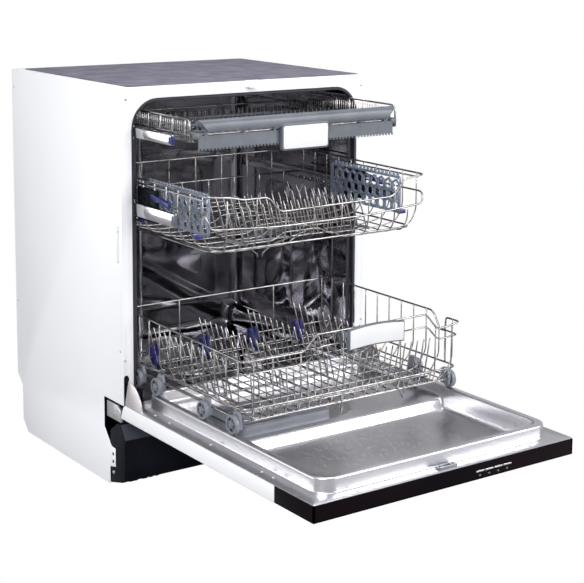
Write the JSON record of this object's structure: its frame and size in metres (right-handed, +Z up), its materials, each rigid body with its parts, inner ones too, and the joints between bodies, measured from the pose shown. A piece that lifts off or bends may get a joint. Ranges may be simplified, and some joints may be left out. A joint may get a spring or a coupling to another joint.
{
  "type": "dishwasher",
  "caption": "Built-in dishwasher with its door lying open and a cutlery tray, an upper rack and a lower basket drawn out in steps.",
  "frame": {"origin": "on the floor, under the middle of the cabinet", "axes": "+Z up, +X to the right as seen from the front, and the open door lies towards -Y"},
  "size_m": [0.598, 1.1496, 0.82],
  "materials": {
    "white_enamel": "satin",
    "stainless": "polished",
    "galvanised": "matte",
    "mat_grey": "matte",
    "black_plastic": "matte",
    "black_gloss": "gloss",
    "rubber": "matte",
    "grey_plastic": "satin",
    "blue_plastic": "gloss",
    "clear_blue": "clear",
    "wire": "polished",
    "cast": "matte",
    "silver_key": "satin"
  },
  "bodies": {
    "cabinet": {"back_panel": "galvanised", "base_tray": "black_plastic", "circulation_pump": "cast", "door_gasket": "rubber", "feed_tube": "stainless", "filter_plate": "stainless", "front_foot_left": "grey_plastic", "front_foot_right": "grey_plastic", "front_top_rail": "white_enamel", "hinge_bracket_left": "galvanised", "hinge_bracket_right": "galvanised", "kick_plate": "black_plastic", "latch_striker": "stainless", "left_side_panel": "white_enamel", "rack_track_left": "stainless", "rack_track_right": "stainless", "right_side_panel": "white_enamel", "sump": "black_plastic", "top_mat": "mat_grey", "tray_track_left": "stainless", "tray_track_right": "stainless", "tub": "stainless", "water_softener": "grey_plastic"},
    "door": {"door_outer_panel": "white_enamel", "door_liner": "stainless", "control_panel": "black_gloss", "door_lock": "grey_plastic", "hinge_arm_left": "galvanised", "hinge_arm_right": "galvanised", "dispenser_body": "grey_plastic"},
    "lid": {"detergent_lid": "grey_plastic"},
    "rinse_cap": {"rinse_aid_cap": "grey_plastic"},
    "lower_basket": {"lower_basket": "wire", "basket_handle": "grey_plastic"},
    "tines_left": {"tine_row_left": "wire"},
    "tines_right": {"tine_row_right": "wire"},
    "upper_rack": {"upper_rack": "wire"},
    "middle_arm": {"middle_spray_arm": "grey_plastic"},
    "shelf_left": {"cup_shelf_left": "clear_blue"},
    "shelf_right": {"cup_shelf_right": "clear_blue"},
    "lever_left": {"height_lever_left": "blue_plastic"},
    "lever_right": {"height_lever_right": "blue_plastic"},
    "rack_rails": {"rack_rail_left": "stainless", "rack_rail_right": "stainless"},
    "tray_rails": {"tray_rail_left": "stainless", "tray_rail_right": "stainless"},
    "cutlery_tray": {"cutlery_tray": "wire", "tray_handle": "grey_plastic"},
    "lower_arm": {"lower_spray_arm": "grey_plastic"},
    "top_arm": {"top_spray_arm": "grey_plastic"},
    "filter": {"filter_cup": "grey_plastic"},
    "salt": {"salt_cap": "grey_plastic"},
    "key_1": {"program_key_1": "silver_key"},
    "key_2": {"program_key_2": "silver_key"},
    "key_3": {"program_key_3": "silver_key"},
    "key_4": {"program_key_4": "silver_key"},
    "front_wheel_left": {"front_wheel_left": "grey_plastic"},
    "front_wheel_right": {"front_wheel_right": "grey_plastic"},
    "rear_wheel_left": {"rear_wheel_left": "grey_plastic"},
    "rear_wheel_right": {"rear_wheel_right": "grey_plastic"}
  },
  "joints": [
    {"name": "door_hinge", "type": "hinge", "parent": "cabinet", "child": "door", "pos_m": [0, -0.26, 0.1775], "axis": [1, 0, 0], "range_deg": [0, 1.2], "stiffness_Nm_per_rad": 120, "springref_deg": -16.04},
    {"name": "lower_basket_slide", "type": "slide", "parent": "cabinet", "child": "lower_basket", "axis": [0, 1, 0], "range_m": [-0.2, 0.385]},
    {"name": "upper_rack_slide", "type": "slide", "parent": "cabinet", "child": "upper_rack", "axis": [0, 1, 0], "range_m": [-0.12, 0.2675]},
    {"name": "rack_rails_slide", "type": "slide", "parent": "cabinet", "child": "rack_rails", "axis": [0, 1, 0], "range_m": [-0.075, 0.164]},
    {"name": "cutlery_tray_slide", "type": "slide", "parent": "cabinet", "child": "cutlery_tray", "axis": [0, 1, 0], "range_m": [-0.1, 0.196]},
    {"name": "tray_rails_slide", "type": "slide", "parent": "cabinet", "child": "tray_rails", "axis": [0, 1, 0], "range_m": [-0.085, 0.16]},
    {"name": "front_wheel_left_axle", "type": "hinge", "parent": "lower_basket", "child": "front_wheel_left", "pos_m": [-0.25875, -0.59, 0.2308], "axis": [1, 0, 0], "range_deg": [-1260, 660]},
    {"name": "front_wheel_right_axle", "type": "hinge", "parent": "lower_basket", "child": "front_wheel_right", "pos_m": [0.25875, -0.59, 0.2308], "axis": [1, 0, 0], "range_deg": [-1260, 660]},
    {"name": "rear_wheel_left_axle", "type": "hinge", "parent": "lower_basket", "child": "rear_wheel_left", "pos_m": [-0.25875, -0.236, 0.2308], "axis": [1, 0, 0], "range_deg": [-1260, 660]},
    {"name": "rear_wheel_right_axle", "type": "hinge", "parent": "lower_basket", "child": "rear_wheel_right", "pos_m": [0.25875, -0.236, 0.2308], "axis": [1, 0, 0], "range_deg": [-1260, 660]},
    {"name": "tines_left_fold", "type": "hinge", "parent": "lower_basket", "child": "tines_left", "pos_m": [-0.08, -0.345, 0.24162], "axis": [0, 1, 0], "range_deg": [-75, 0]},
    {"name": "tines_right_fold", "type": "hinge", "parent": "lower_basket", "child": "tines_right", "pos_m": [0.04, -0.345, 0.24162], "axis": [0, 1, 0], "range_deg": [-75, 0]},
    {"name": "middle_arm_spin", "type": "hinge", "parent": "upper_rack", "child": "middle_arm", "pos_m": [0, -0.28125, 0.5], "axis": [0, 0, 1], "continuous": true},
    {"name": "shelf_left_fold", "type": "hinge", "parent": "upper_rack", "child": "shelf_left", "pos_m": [-0.2285, -0.3425, 0.556], "axis": [0, 1, 0], "range_deg": [0, 80]},
    {"name": "shelf_right_fold", "type": "hinge", "parent": "upper_rack", "child": "shelf_right", "pos_m": [0.2285, -0.3425, 0.556], "axis": [0, 1, 0], "range_deg": [-80, 0]},
    {"name": "lever_left_lift", "type": "hinge", "parent": "upper_rack", "child": "lever_left", "pos_m": [-0.26035, -0.304, 0.608], "axis": [1, 0, 0], "range_deg": [-15, 0], "stiffness_Nm_per_rad": 0.2, "springref_deg": 5.73},
    {"name": "lever_right_lift", "type": "hinge", "parent": "upper_rack", "child": "lever_right", "pos_m": [0.26035, -0.304, 0.608], "axis": [1, 0, 0], "range_deg": [-15, 0], "stiffness_Nm_per_rad": 0.2, "springref_deg": 5.73},
    {"name": "lower_arm_spin", "type": "hinge", "parent": "cabinet", "child": "lower_arm", "pos_m": [0, -0.005, 0.2005], "axis": [0, 0, 1], "continuous": true},
    {"name": "top_arm_spin", "type": "hinge", "parent": "cabinet", "child": "top_arm", "pos_m": [0, -0.005, 0.7828], "axis": [0, 0, 1], "continuous": true},
    {"name": "filter_cup_twist", "type": "hinge", "parent": "cabinet", "child": "filter", "pos_m": [0, -0.005, 0.165], "axis": [0, 0, 1], "range_deg": [-90, 0]},
    {"name": "salt_cap_twist", "type": "hinge", "parent": "cabinet", "child": "salt", "pos_m": [-0.17, 0.055, 0.165], "axis": [0, 0, 1], "range_deg": [-360, 0]},
    {"name": "detergent_lid_slide", "type": "slide", "parent": "door", "child": "lid", "axis": [0, 1, 0], "range_m": [-0.048, 0]},
    {"name": "rinse_cap_twist", "type": "hinge", "parent": "door", "child": "rinse_cap", "pos_m": [-0.058, -0.484, 0.2053], "axis": [0, 0, 1], "range_deg": [-90, 0]},
    {"name": "key_1_press", "type": "slide", "parent": "door", "child": "key_1", "axis": [0, 1, 0], "range_m": [0, 0.001], "stiffness_N_per_m": 400, "springref_m": -0.001},
    {"name": "key_2_press", "type": "slide", "parent": "door", "child": "key_2", "axis": [0, 1, 0], "range_m": [0, 0.001], "stiffness_N_per_m": 400, "springref_m": -0.001},
    {"name": "key_3_press", "type": "slide", "parent": "door", "child": "key_3", "axis": [0, 1, 0], "range_m": [0, 0.001], "stiffness_N_per_m": 400, "springref_m": -0.001},
    {"name": "key_4_press", "type": "slide", "parent": "door", "child": "key_4", "axis": [0, 1, 0], "range_m": [0, 0.001], "stiffness_N_per_m": 400, "springref_m": -0.001}
  ],
  "couplings": [
    {"joint": "front_wheel_left_axle", "follows": "lower_basket_slide", "rad_per_m": -55.556},
    {"joint": "front_wheel_right_axle", "follows": "lower_basket_slide", "rad_per_m": -55.556},
    {"joint": "rear_wheel_left_axle", "follows": "lower_basket_slide", "rad_per_m": -55.556},
    {"joint": "rear_wheel_right_axle", "follows": "lower_basket_slide", "rad_per_m": -55.556},
    {"joint": "rack_rails_slide", "follows": "upper_rack_slide", "ratio": 0.6},
    {"joint": "tray_rails_slide", "follows": "cutlery_tray_slide", "ratio": 0.8}
  ]
}
